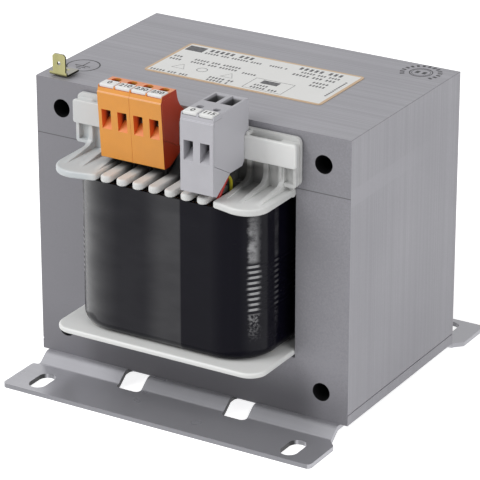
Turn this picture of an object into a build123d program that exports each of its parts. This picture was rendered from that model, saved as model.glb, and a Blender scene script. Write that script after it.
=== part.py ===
from build123d import *

import os

os.makedirs("parts", exist_ok=True)

# A single-phase control transformer: a welded EI core on two sheet feet, with a moulded bobbin
# whose front edge carries a comb for the leads and a rail for three clip-on terminals.
# Millimetres. X is the width, Y runs from front to back, Z is up.
# The origin lies on the floor under the middle of the core, and heights count from the core's underside.

# Core
centre_leg = 50.0
side_leg = 25.0
window_width = 25.0
window_height = 75.0
yoke_height = 25.0
stack_depth = 94.0
core_hole_diameter = 8.0
core_hole_inset = 12.5
weld_height = 7.5
weld_root_height = 2.0
weld_depth = 2.0
edge_line_height = 4.7
edge_line_width = 0.5
edge_line_depth = 0.4

# Feet
foot_sheet = 2.0
foot_joggle = 4.0
foot_tuck = 18.0
foot_slope_start = 2.3
foot_slope_run = 5.2
foot_length = 31.4
foot_bend_radius = 1.5
foot_left_relief = 3.0
foot_right_relief = 3.5
foot_shoulder = 8.2
foot_chamfer_start = 8.0
foot_corner_radius = 2.0
shoulder_radius = 1.4
slot_length = 14.4
slot_width = 7.8
slot_spacing_x = 123.0
slot_reach = 21.0
notch_width = 11.4
notch_tuck = 3.0
notch_reach = 10.2
notch_spacing = 52.0
notch_radius = 2.0
foot_weld_count = 4
foot_weld_spacing = 40.0
foot_weld_length = 20.0
foot_weld_leg = 2.5
foot_weld_bulge = 0.3

# Bobbin tube and flanges
leg_clearance = 0.5
tube_wall = 2.0
tube_corner_radius = 2.0
tube_end_clearance = 0.2
flange_clearance = 0.2
flange_overhang = 30.0
flange_corner_radius = 8.0
lower_flange_lift = 0.8
lower_flange_thickness = 2.4
upper_flange_drop = 0.3
upper_flange_thickness = 3.0
rim_radius = 0.9

# Bobbin comb and ears
pole_pitch = 7.62
comb_shift = -0.9
base_reach = 4.5
finger_count = 7
finger_width = 4.8
finger_reach = 28.0
ear_gap = 1.64
ear_inner_reach = 28.2
ear_reach = 30.6
ear_flat = 11.8
ear_corner_radius = 10.0
ear_tip_radius = 1.5
web_reach = 10.6
web_radius = 7.0
gusset_count = 3
gusset_width = 2.0
gusset_reach = 23.6
gusset_rise = 2.3
gusset_stem = 3.9
gusset_radius = 4.0

# Bobbin wall and rail
wall_gap = 0.5
wall_thickness = 1.6
wall_height = 22.9
wing_width = 3.2
wing_lift = 2.0
wing_radius = 2.5
rail_gap = 2.4
bar_thickness = 1.6
bar_lift = 10.7
bar_height = 10.2
bar_corner_radius = 1.2
bar_edge_radius = 0.5
rib_thickness = 1.0
rib_drop = 1.0
end_frame_width = 8.0
end_frame_wall = 1.4
end_frame_inset = 0.6
peg_width = 1.2
peg_height = 1.4
peg_gap = 0.3

# Coil
layer_gap = 0.1
coil_top_gap = 1.0
primary_build_x = 8.4
primary_build_y = 10.4
primary_corner_radius = 10.0
insulation_thickness = 0.8
secondary_build_x = 6.7
secondary_build_y = 10.0
secondary_corner_radius = 18.2
wrap_thickness = 1.2
wrap_edge_radius = 4.5
wrap_lip = 9.0

# Terminals, both kinds
module_pole_count = 2
free_line_count = 2
module_gap = 0.1
rail_clearance = 0.2
wall_clearance = 0.3
nose_width = 4.4
nose_thickness = 1.4
nose_length = 3.1
mouth_width = 4.4
mouth_height = 8.6
throat_width = 3.0
throat_height = 4.4
throat_drop = 0.2
chamber_width = 4.6
chamber_depth_below_roof = 10.2
ridge_drop = 2.7
ridge_step = 0.3
moulding_radius = 0.3
tag_length = 5.3
tag_sink = 1.0
tag_proud = 0.6
tag_clearance = 0.05
tag_edge_radius = 0.3
cover_thickness = 0.8
cover_inset = 1.2
seam_gap = 0.12

# Orange terminals
orange_reach = 14.1
orange_rise = 14.6
orange_drop = 6.8
orange_brow = 1.2
orange_lean = 2.5
orange_roof_depth = 11.8
orange_hook_overlap = 0.4
orange_hook_height = 1.3
orange_neck_run = 5.5
orange_neck_rise = 4.8
orange_neck_radius = 12.0
orange_floor_depth = 6.7
orange_toe_drop = 2.0
orange_toe_run = 1.9
orange_toe_radius = 0.4
orange_floor_radius = 3.0
orange_mouth_drop = 10.2
orange_chamber_front = 5.2
orange_chamber_back = 11.2
orange_tool_hole_diameter = 4.2
orange_tool_hole_back = 8.9
orange_tag_width = 6.9
orange_seam_height = 12.7

# Grey terminal
grey_reach = 24.2
grey_rise = 14.9
grey_drop = 7.9
grey_brow = 0.9
grey_back = 3.2
grey_toe_drop = 2.2
grey_toe_run = 1.4
grey_toe_radius = 1.0
grey_step = 13.3
grey_step_radius = 0.5
grey_chin_depth = 2.8
grey_chin_drop = 1.1
grey_mouth_drop = 11.3
grey_chamber_front = 5.3
grey_chamber_back = 17.3
grey_tool_hole_diameter = 3.2
grey_tool_hole_back = 9.3
grey_tag_width = 6.4
grey_seam_height = 12.4
entry_mouth_width = 5.6
entry_mouth_length = 10.0
entry_throat_width = 3.4
entry_throat_length = 4.4
entry_back = 21.2
entry_throat_shift = 0.4
entry_taper_depth = 6.0
entry_depth = 13.0

# Clamps
bar_strip_thickness = 0.8
bar_strip_width = 4.0
bar_strip_height = 13.0
bar_strip_rise = 2.0
bar_strip_play = 0.1
spring_thickness = 0.4
spring_width = 4.2
spring_height = 9.0
spring_rise = 3.0
spring_play = 0.4
spring_bend_radius = 1.4

# Leads
primary_lead_diameter = 1.4
secondary_lead_diameter = 1.6
lead_play = 0.1
lead_top_rise = 7.0
lead_bend_radius = 5.0
lead_bend_drop = 4.5
red_lead_start = 22.5
red_lead_rise = 2.7
earth_lead_start = 9.5
earth_lead_rise = 7.0

# Earth tab
tab_thickness = 0.8
tab_blade_width = 6.3
tab_height = 9.7
tab_chamfer = 1.0
tab_hole_diameter = 1.7
tab_hole_drop = 4.1
tab_shoulder_width = 8.5
tab_shoulder_height = 1.8
tab_foot_length = 9.2
tab_bend_radius = 1.2
tab_inset_x = 10.5
tab_inset_y = 1.6
tab_foot_shift = 0.55
tab_boss_diameter = 4.0
tab_boss_height = 0.8
tab_boss_inset = 6.4
tab_dimple_diameter = 1.8
tab_dimple_depth = 0.3

# Rating label
label_width = 85.0
label_length = 38.7
label_thickness = 0.25
label_corner_radius = 2.0
label_shift_x = 2.2
label_shift_y = 0.6

# Core sizes that follow
core_bottom = foot_joggle + foot_sheet
core_width = centre_leg + 2 * window_width + 2 * side_leg
e_height = yoke_height + window_height
core_height = e_height + yoke_height
core_front = -stack_depth / 2
window_centre = centre_leg / 2 + window_width / 2
slot_spacing_y = stack_depth + 2 * slot_reach
core_hole_x = core_width / 2 - core_hole_inset

# Bobbin sizes that follow
bore_width = centre_leg + 2 * leg_clearance
bore_length = stack_depth + 2 * leg_clearance
tube_width = bore_width + 2 * tube_wall
tube_length = bore_length + 2 * tube_wall
tube_bottom = yoke_height + tube_end_clearance
tube_top = e_height - tube_end_clearance
flange_width = centre_leg + 2 * window_width - 2 * flange_clearance
flange_length = stack_depth + 2 * flange_overhang
lower_flange_bottom = tube_bottom + lower_flange_lift
lower_flange_top = lower_flange_bottom + lower_flange_thickness
upper_flange_top = tube_top - upper_flange_drop
upper_flange_bottom = upper_flange_top - upper_flange_thickness
base_front = core_front - base_reach
finger_tip = core_front - finger_reach
last_finger = (finger_count - 1) // 2
last_gusset = last_finger + gusset_count
ear_inner = last_finger * pole_pitch + abs(comb_shift) + finger_width / 2 + ear_gap
wall_back = core_front - wall_gap
wall_front = wall_back - wall_thickness
wall_top = upper_flange_top + wall_height
wing_bottom = upper_flange_top + wing_lift
wing_edge = flange_width / 2 + wing_width
bar_back = wall_front - rail_gap
bar_front = bar_back - bar_thickness
bar_middle = (bar_back + bar_front) / 2
bar_bottom = upper_flange_top + bar_lift
bar_top = bar_bottom + bar_height
rib_height = bar_height - rib_drop

# Coil sizes that follow
primary_bore_width = tube_width + 2 * layer_gap
primary_bore_length = tube_length + 2 * layer_gap
primary_width = primary_bore_width + 2 * primary_build_x
primary_length = primary_bore_length + 2 * primary_build_y
insulation_bore_width = primary_width + 2 * layer_gap
insulation_bore_length = primary_length + 2 * layer_gap
insulation_bore_radius = primary_corner_radius + layer_gap
insulation_width = insulation_bore_width + 2 * insulation_thickness
insulation_length = insulation_bore_length + 2 * insulation_thickness
insulation_radius = insulation_bore_radius + insulation_thickness
secondary_bore_width = insulation_width + 2 * layer_gap
secondary_bore_length = insulation_length + 2 * layer_gap
secondary_width = secondary_bore_width + 2 * secondary_build_x
secondary_length = secondary_bore_length + 2 * secondary_build_y
wrap_growth = 2 * (wrap_thickness + layer_gap)
wrap_width = secondary_width + wrap_growth
wrap_length = secondary_length + wrap_growth
wrap_corner_radius = secondary_corner_radius + wrap_growth / 2
coil_bottom = lower_flange_top + layer_gap
coil_top = upper_flange_bottom - coil_top_gap
winding_bottom = coil_bottom + wrap_thickness + layer_gap
winding_height = coil_top - winding_bottom
secondary_edge_radius = wrap_edge_radius - wrap_thickness - layer_gap

# Where the terminals touch the rail
bar_face = bar_front - rail_clearance
bar_seat = bar_top + rail_clearance
bar_under = bar_bottom - rail_clearance
wall_face = wall_front - wall_clearance
wall_seat = wall_top + wall_clearance
nose_front = bar_back + rail_clearance

# Terminal sizes that follow
orange_front = bar_front - orange_reach
orange_roof = bar_top + orange_rise
orange_ridge = orange_roof - ridge_drop
orange_floor = bar_bottom - orange_drop
orange_hook_back = wall_front + orange_hook_overlap
orange_hook_top = wall_seat + orange_hook_height
orange_toe = bar_face + orange_toe_run
grey_front = bar_front - grey_reach
grey_roof = bar_top + grey_rise
grey_ridge = grey_roof - ridge_drop
grey_floor = bar_bottom - grey_drop
grey_back_face = bar_front + grey_back
grey_toe = bar_face - grey_toe_run
grey_toe_floor = bar_bottom - grey_toe_drop
grey_step_y = grey_front + grey_step
orange_names = ("orange_terminal_left", "orange_terminal_right")
first_orange_line = -last_finger - 1
last_orange_line = first_orange_line + module_pole_count * len(orange_names)
first_grey_line = last_orange_line + free_line_count
last_grey_line = first_grey_line + module_pole_count


def plan(height):
    """Level plane at a height above the core's underside."""
    return Plane.XY.offset(core_bottom + height)


def front(y):
    """Upright plane that faces the front, with X along the width and Y up."""
    return Plane(origin=(0, y, core_bottom), x_dir=(1, 0, 0), z_dir=(0, -1, 0))


def side(x):
    """Upright plane that faces the right, with X towards the back and Y up."""
    return Plane(origin=(x, 0, core_bottom), x_dir=(0, 1, 0), z_dir=(1, 0, 0))


def grid(line):
    """X of one of the lines that the fingers, ribs and terminals share."""
    return comb_shift + line * pole_pitch


orange_poles = [grid(line + 0.5) for line in range(first_orange_line, last_orange_line)]
grey_poles = [grid(line + 0.5) for line in range(first_grey_line, last_grey_line)]

# Weld beads that close the joint between E and I sheets on both side faces
with BuildPart() as joint_welds:
    with BuildSketch(front(core_front)) as weld_outline:
        with BuildLine():
            Polyline(
                (core_width / 2, e_height - weld_height / 2),
                (core_width / 2 - weld_depth, e_height - weld_root_height / 2),
                (core_width / 2 - weld_depth, e_height + weld_root_height / 2),
                (core_width / 2, e_height + weld_height / 2),
                close=True,
            )
        make_face()
        mirror(about=Plane.YZ)
    extrude(amount=-stack_depth)

joint_welds.part.label = "joint_welds"
export_step(joint_welds.part, "parts/joint_welds.step")

# E stack, open at the top, with the groove for the welds and a shallow line low on each side
with BuildPart() as e_core:
    with BuildSketch(front(core_front)) as e_sheet:
        with Locations((0, e_height / 2)):
            Rectangle(core_width, e_height)
        with Locations(
            (-window_centre, yoke_height + window_height / 2),
            (window_centre, yoke_height + window_height / 2),
        ):
            Rectangle(window_width, window_height, mode=Mode.SUBTRACT)
        with Locations((-core_hole_x, core_hole_inset), (core_hole_x, core_hole_inset)):
            Circle(core_hole_diameter / 2, mode=Mode.SUBTRACT)
        with Locations((-core_width / 2, edge_line_height), (core_width / 2, edge_line_height)):
            Rectangle(2 * edge_line_depth, edge_line_width, mode=Mode.SUBTRACT)
        add(weld_outline.sketch_local, mode=Mode.SUBTRACT)
    extrude(amount=-stack_depth)

e_core.part.label = "e_core"
export_step(e_core.part, "parts/e_core.step")

# I stack that closes the core
with BuildPart() as i_core:
    with BuildSketch(front(core_front)) as i_sheet:
        with Locations((0, e_height + yoke_height / 2)):
            Rectangle(core_width, yoke_height)
        with Locations(
            (-core_hole_x, core_height - core_hole_inset),
            (core_hole_x, core_height - core_hole_inset),
        ):
            Circle(core_hole_diameter / 2, mode=Mode.SUBTRACT)
        add(weld_outline.sketch_local, mode=Mode.SUBTRACT)
    extrude(amount=-stack_depth)

i_core.part.label = "i_core"
export_step(i_core.part, "parts/i_core.step")

# Foot: a strip bent down in front of the core, then cut to its outline
with BuildPart() as front_foot:
    with BuildSketch(side(-core_width / 2)) as foot_section:
        with BuildLine():
            FilletPolyline(
                (core_front + foot_tuck, 0),
                (core_front - foot_slope_start, 0),
                (core_front - foot_slope_start - foot_slope_run, -foot_joggle),
                (core_front - foot_length, -foot_joggle),
                radius=[foot_bend_radius + foot_sheet, foot_bend_radius],
            )
            offset(amount=foot_sheet, side=Side.LEFT)
        make_face()
    extrude(amount=core_width)
    with BuildSketch(plan(0)) as foot_outline:
        neck_left = foot_left_relief - core_width / 2
        neck_right = core_width / 2 - foot_right_relief
        with BuildLine():
            FilletPolyline(
                (neck_left, core_front + foot_tuck),
                (neck_left, core_front - foot_shoulder),
                (-core_width / 2, core_front - foot_shoulder),
                (-core_width / 2, core_front - foot_length),
                (core_width / 2, core_front - foot_length),
                (core_width / 2, core_front - foot_chamfer_start - foot_right_relief),
                (neck_right, core_front - foot_chamfer_start),
                (neck_right, core_front + foot_tuck),
                radius=[
                    0,
                    shoulder_radius,
                    shoulder_radius,
                    foot_corner_radius,
                    foot_corner_radius,
                    foot_corner_radius,
                    foot_corner_radius,
                    0,
                ],
                close=True,
            )
        make_face()
        with Locations(
            (-slot_spacing_x / 2, -slot_spacing_y / 2),
            (slot_spacing_x / 2, -slot_spacing_y / 2),
        ):
            SlotOverall(slot_length, slot_width, rotation=90, mode=Mode.SUBTRACT)
        notch_y = core_front + (notch_tuck - notch_reach) / 2
        with Locations((-notch_spacing / 2, notch_y), (notch_spacing / 2, notch_y)):
            RectangleRounded(notch_width, notch_tuck + notch_reach, notch_radius, mode=Mode.SUBTRACT)
    extrude(amount=-core_bottom, mode=Mode.INTERSECT)

front_foot.part.label = "front_foot"
export_step(front_foot.part, "parts/front_foot.step")

with BuildPart() as rear_foot:
    mirror(front_foot.part, about=Plane.XZ)

rear_foot.part.label = "rear_foot"
export_step(rear_foot.part, "parts/rear_foot.step")

# Short fillet beads along the feet's inner ends, against the core's underside
with BuildPart() as foot_welds:
    foot_end = core_front + foot_tuck
    for bead in range(foot_weld_count):
        bead_x = (bead - (foot_weld_count - 1) / 2) * foot_weld_spacing
        with BuildSketch(side(bead_x)) as bead_section:
            with BuildLine():
                Line((foot_end, -foot_weld_leg), (foot_end, 0))
                Line((foot_end, 0), (foot_end + foot_weld_leg, 0))
                SagittaArc((foot_end + foot_weld_leg, 0), (foot_end, -foot_weld_leg), -foot_weld_bulge)
            make_face()
        extrude(amount=foot_weld_length / 2, both=True)
    mirror(about=Plane.XZ)

foot_welds.part.label = "foot_welds"
export_step(foot_welds.part, "parts/foot_welds.step")

# Bobbin: one moulding with the tube, two flanges, the comb with its ears, the wall and the rail
with BuildPart() as bobbin:
    with BuildSketch(plan(upper_flange_bottom)) as upper_flange:
        with BuildLine():
            FilletPolyline(
                (-flange_width / 2, base_front),
                (flange_width / 2, base_front),
                (flange_width / 2, flange_length / 2),
                (-flange_width / 2, flange_length / 2),
                radius=[0, 0, flange_corner_radius, flange_corner_radius],
                close=True,
            )
        make_face()
        finger_length = base_front + finger_width / 2 - finger_tip
        for line in range(-last_finger, last_finger + 1):
            with Locations((grid(line), finger_tip + finger_length / 2)):
                SlotOverall(finger_length, finger_width, rotation=90)
        for hand in (-1, 1):
            with BuildLine():
                FilletPolyline(
                    (hand * ear_inner, base_front + finger_width / 2),
                    (hand * ear_inner, core_front - ear_inner_reach),
                    (hand * (flange_width / 2 - ear_flat), core_front - ear_reach),
                    (hand * flange_width / 2, core_front - ear_reach),
                    (hand * flange_width / 2, base_front + finger_width / 2),
                    radius=[0, ear_tip_radius, ear_corner_radius / 2, ear_corner_radius, 0],
                    close=True,
                )
            make_face()
    extrude(amount=upper_flange_thickness)
    fillet(edges().group_by(Axis.Z)[-1], rim_radius)
    fillet(edges().group_by(Axis.Z)[0], rim_radius)
    with BuildSketch(plan(lower_flange_bottom)) as lower_flange:
        RectangleRounded(flange_width, flange_length, flange_corner_radius)
    extrude(amount=lower_flange_thickness)
    fillet(edges().group_by(Axis.Z)[2], rim_radius)
    fillet(edges().group_by(Axis.Z)[0], rim_radius)
    with BuildSketch(plan(tube_bottom)) as tube_outside:
        RectangleRounded(tube_width, tube_length, tube_corner_radius)
    extrude(amount=tube_top - tube_bottom)
    with BuildSketch(plan(tube_bottom)) as tube_bore:
        Rectangle(bore_width, bore_length)
    extrude(amount=tube_top - tube_bottom, mode=Mode.SUBTRACT)
    with BuildSketch(front(wall_back)) as wall_outline:
        wall_middle = (upper_flange_bottom + wall_top) / 2
        with Locations((0, wall_middle)):
            Rectangle(flange_width, wall_top - upper_flange_bottom)
        with Locations((0, (wing_bottom + wall_top) / 2)):
            RectangleRounded(2 * wing_edge, wall_top - wing_bottom, wing_radius)
    extrude(amount=wall_thickness)
    with BuildSketch(front(bar_back)) as bar_outline:
        with Locations((0, bar_bottom + bar_height / 2)):
            RectangleRounded(2 * wing_edge, bar_height, bar_corner_radius)
    extrude(amount=bar_thickness)
    fillet(edges(Select.LAST).group_by(Axis.Y)[0], bar_edge_radius)
    with BuildSketch(front(wall_front)) as end_frames:
        frame_height = bar_top - wing_bottom
        frame_x = wing_edge - end_frame_inset - end_frame_width / 2
        with Locations((-frame_x, wing_bottom + frame_height / 2), (frame_x, wing_bottom + frame_height / 2)):
            RectangleRounded(end_frame_width, frame_height, bar_corner_radius)
            Rectangle(
                end_frame_width - 2 * end_frame_wall,
                frame_height - 2 * end_frame_wall,
                mode=Mode.SUBTRACT,
            )
    extrude(amount=rail_gap)
    with BuildSketch(plan(bar_bottom)) as rail_ribs:
        for line in range(-last_gusset, last_gusset + 1):
            with Locations((grid(line), (wall_front + bar_back) / 2)):
                Rectangle(rib_thickness, rail_gap)
    extrude(amount=rib_height)
    for line in range(-last_finger, last_finger + 1):
        with BuildSketch(side(grid(line))) as web_outline:
            web_foot = core_front - web_reach
            with BuildLine():
                Line((wall_front, upper_flange_bottom), (web_foot, upper_flange_bottom))
                Line((web_foot, upper_flange_bottom), (web_foot, upper_flange_top))
                web_curve = TangentArc(
                    (web_foot, upper_flange_top),
                    (web_foot + web_radius, upper_flange_top + web_radius),
                    tangent=(1, 0),
                )
                Line(web_curve @ 1, (web_foot + web_radius, bar_bottom))
                Line((web_foot + web_radius, bar_bottom), (wall_front, bar_bottom))
                Line((wall_front, bar_bottom), (wall_front, upper_flange_bottom))
            make_face()
        extrude(amount=finger_width / 2, both=True)
    gusset_tip = core_front - gusset_reach
    gusset_back = core_front - gusset_stem
    for line in range(last_finger + 1, last_gusset + 1):
        with BuildSketch(side(line * pole_pitch)) as gusset_outline:
            with BuildLine():
                FilletPolyline(
                    (wall_front, upper_flange_bottom),
                    (gusset_tip, upper_flange_bottom),
                    (gusset_tip, upper_flange_top),
                    (gusset_back, upper_flange_top + gusset_rise),
                    (gusset_back, bar_bottom),
                    (wall_front, bar_bottom),
                    radius=[0, 0, 0, gusset_radius, 0, 0],
                    close=True,
                )
            make_face()
        gusset = extrude(amount=gusset_width / 2, both=True)
        mirror(gusset, about=Plane.YZ)
    with BuildSketch(plan(bar_top)) as stop_peg:
        peg_x = grid(last_grey_line) + peg_gap + peg_width / 2
        with Locations((peg_x, (wall_front + bar_middle) / 2)):
            Rectangle(peg_width, wall_front - bar_middle)
    extrude(amount=peg_height)

bobbin.part.label = "bobbin"
export_step(bobbin.part, "parts/bobbin.step")

# Primary winding, wound on the tube
with BuildPart() as primary_winding:
    with BuildSketch(plan(winding_bottom)) as primary_section:
        RectangleRounded(primary_width, primary_length, primary_corner_radius)
        RectangleRounded(
            primary_bore_width,
            primary_bore_length,
            tube_corner_radius + layer_gap,
            mode=Mode.SUBTRACT,
        )
    extrude(amount=winding_height)

primary_winding.part.label = "primary_winding"
export_step(primary_winding.part, "parts/primary_winding.step")

# Insulation between the windings
with BuildPart() as interlayer_insulation:
    with BuildSketch(plan(winding_bottom)) as insulation_section:
        RectangleRounded(insulation_width, insulation_length, insulation_radius)
        RectangleRounded(
            insulation_bore_width,
            insulation_bore_length,
            insulation_bore_radius,
            mode=Mode.SUBTRACT,
        )
    extrude(amount=winding_height)

interlayer_insulation.part.label = "interlayer_insulation"
export_step(interlayer_insulation.part, "parts/interlayer_insulation.step")

# Secondary winding, rounded at its lower outer edge
with BuildPart() as secondary_winding:
    with BuildSketch(plan(winding_bottom)) as secondary_outside:
        RectangleRounded(secondary_width, secondary_length, secondary_corner_radius)
    extrude(amount=winding_height)
    fillet(edges().group_by(Axis.Z)[0], secondary_edge_radius)
    with BuildSketch(plan(winding_bottom)) as secondary_bore:
        RectangleRounded(
            secondary_bore_width,
            secondary_bore_length,
            insulation_radius + layer_gap,
        )
    extrude(amount=winding_height, mode=Mode.SUBTRACT)

secondary_winding.part.label = "secondary_winding"
export_step(secondary_winding.part, "parts/secondary_winding.step")

# Tape wrap, turned in under the coil
with BuildPart() as outer_wrap:
    with BuildSketch(plan(coil_bottom)) as wrap_outside:
        RectangleRounded(wrap_width, wrap_length, wrap_corner_radius)
    extrude(amount=coil_top - coil_bottom)
    fillet(edges().group_by(Axis.Z)[0], wrap_edge_radius)
    offset(amount=-wrap_thickness, openings=faces().sort_by(Axis.Z)[-1])
    with BuildSketch(plan(coil_bottom)) as lip_opening:
        RectangleRounded(
            wrap_width - 2 * wrap_lip,
            wrap_length - 2 * wrap_lip,
            wrap_corner_radius - wrap_lip,
        )
    extrude(amount=wrap_thickness, mode=Mode.SUBTRACT)

outer_wrap.part.label = "outer_wrap"
export_step(outer_wrap.part, "parts/outer_wrap.step")

# Orange terminals: two modules of two poles, hooked over the wall and behind the rail's bar
orange_cover_floor = orange_floor + orange_seam_height
orange_cover_roof = orange_roof - tag_sink - seam_gap - cover_thickness
orange_cover_step = orange_front + orange_brow + tag_length + cover_thickness


def orange_face(height):
    """Y of the leaning front face at a height."""
    return orange_front + orange_lean * (orange_ridge - height) / (orange_ridge - orange_floor)


def orange_cover_region(play):
    """Corners of the part of the side that the end cover takes, grown by play."""
    return [
        (orange_face(orange_cover_floor) + cover_inset - play, orange_cover_floor - play),
        (orange_face(orange_cover_roof) + cover_inset - play, orange_cover_roof + play),
        (orange_cover_step - play, orange_cover_roof + play),
        (orange_cover_step - play, orange_roof),
        (orange_hook_back, orange_roof),
        (orange_hook_back, bar_seat),
        (bar_face, bar_seat),
        (bar_face, bar_under - play),
    ]


with BuildSketch() as orange_outline:
    with BuildLine():
        FilletPolyline(
            (orange_front + orange_lean, orange_floor),
            (orange_front, orange_ridge),
            (orange_front + ridge_step, orange_ridge),
            (orange_front + orange_brow, orange_roof),
            (orange_front + orange_roof_depth, orange_roof),
            (orange_hook_back - orange_neck_run, orange_hook_top + orange_neck_rise),
            (orange_hook_back, orange_hook_top),
            (orange_hook_back, wall_seat),
            (wall_face, wall_seat),
            (wall_face, bar_seat),
            (bar_face, bar_seat),
            (bar_face, bar_under),
            (orange_toe, bar_under),
            (orange_toe, bar_under - orange_toe_drop),
            (orange_front + orange_floor_depth, orange_floor),
            radius=[
                moulding_radius,
                0,
                0,
                moulding_radius,
                0,
                orange_neck_radius,
                0,
                0,
                0,
                0,
                0,
                0,
                0,
                orange_toe_radius,
                orange_floor_radius,
            ],
            close=True,
        )
    make_face()

mouth_top = orange_roof - orange_mouth_drop
mouth_middle = mouth_top - mouth_height / 2
mouth_plane = Plane(
    origin=(0, orange_face(mouth_middle), core_bottom + mouth_middle),
    x_dir=(1, 0, 0),
    z_dir=(0, orange_floor - orange_ridge, -orange_lean),
)
for module, module_name in enumerate(orange_names):
    first_line = first_orange_line + module * module_pole_count
    last_line = first_line + module_pole_count
    module_left = grid(first_line) + module_gap / 2
    module_right = grid(last_line) - module_gap / 2
    module_poles = [grid(line + 0.5) for line in range(first_line, last_line)]
    with BuildPart() as orange_terminal:
        with BuildSketch(side(module_left)):
            add(orange_outline.sketch)
        extrude(amount=module_right - module_left)
        for pole_x in module_poles:
            with BuildSketch(mouth_plane):
                with Locations((pole_x, 0)):
                    Rectangle(mouth_width, mouth_height)
            with BuildSketch(front(orange_front + orange_chamber_front)):
                with Locations((pole_x, mouth_top - throat_drop - throat_height / 2)):
                    Rectangle(throat_width, throat_height)
            loft(mode=Mode.SUBTRACT)
            chamber_length = orange_chamber_back - orange_chamber_front
            chamber_y = orange_front + orange_chamber_front + chamber_length / 2
            with BuildSketch(plan(orange_floor)):
                with Locations((pole_x, chamber_y)):
                    Rectangle(chamber_width, chamber_length)
            extrude(amount=orange_roof - chamber_depth_below_roof - orange_floor, mode=Mode.SUBTRACT)
            with BuildSketch(plan(orange_roof)):
                with Locations((pole_x, orange_front + orange_tool_hole_back)):
                    Circle(orange_tool_hole_diameter / 2)
            extrude(amount=-chamber_depth_below_roof, mode=Mode.SUBTRACT)
            with BuildSketch(plan(orange_roof)):
                with Locations((pole_x, orange_front + (orange_brow + tag_length + tag_clearance) / 2)):
                    Rectangle(orange_tag_width + 2 * tag_clearance, orange_brow + tag_length + tag_clearance)
            extrude(amount=-tag_sink, mode=Mode.SUBTRACT)
            with BuildSketch(plan(bar_seat)):
                with Locations((pole_x, nose_front + nose_thickness / 2)):
                    Rectangle(nose_width, nose_thickness)
            extrude(amount=-nose_length)
        if last_line == last_orange_line:
            with BuildSketch(side(module_right - cover_thickness)):
                with BuildLine():
                    Polyline(*orange_cover_region(seam_gap), close=True)
                make_face()
            extrude(amount=cover_thickness, mode=Mode.SUBTRACT)

    orange_terminal.part.label = module_name
    export_step(orange_terminal.part, f"parts/{module_name}.step")

# Cover that closes the open side of the right orange module
with BuildPart() as orange_end_cover:
    with BuildSketch(side(grid(last_orange_line) - module_gap / 2 - cover_thickness)):
        add(orange_outline.sketch)
        with BuildLine():
            Polyline(*orange_cover_region(0), close=True)
        make_face(mode=Mode.INTERSECT)
    extrude(amount=cover_thickness)

orange_end_cover.part.label = "orange_end_cover"
export_step(orange_end_cover.part, "parts/orange_end_cover.step")

# Grey terminal: one deeper module of two poles, with square wire entries in its roof
grey_cover_floor = grey_floor + grey_seam_height
grey_cover_roof = grey_roof - tag_sink - seam_gap - cover_thickness
grey_cover_step = grey_front + grey_brow + tag_length + cover_thickness


def grey_cover_region(play):
    """Corners of the part of the side that the end cover takes, grown by play."""
    return [
        (grey_front + cover_inset - play, grey_cover_floor - play),
        (grey_front + cover_inset - play, grey_cover_roof + play),
        (grey_cover_step - play, grey_cover_roof + play),
        (grey_cover_step - play, grey_roof),
        (grey_back_face, grey_roof),
        (grey_back_face, grey_floor),
        (grey_step_y - play, grey_floor),
        (grey_step_y - play, grey_toe_floor - play),
    ]


with BuildSketch() as grey_outline:
    with BuildLine():
        FilletPolyline(
            (grey_front, grey_floor),
            (grey_front, grey_ridge),
            (grey_front + ridge_step, grey_ridge),
            (grey_front + grey_brow, grey_roof),
            (grey_back_face, grey_roof),
            (grey_back_face, bar_seat),
            (bar_face, bar_seat),
            (bar_face, bar_under),
            (grey_toe, grey_toe_floor),
            (grey_step_y, grey_toe_floor),
            (grey_front + grey_chin_depth, grey_floor - grey_chin_drop),
            radius=[
                moulding_radius,
                0,
                0,
                moulding_radius,
                moulding_radius,
                moulding_radius,
                0,
                0,
                grey_toe_radius,
                grey_step_radius,
                moulding_radius,
            ],
            close=True,
        )
    make_face()

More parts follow.
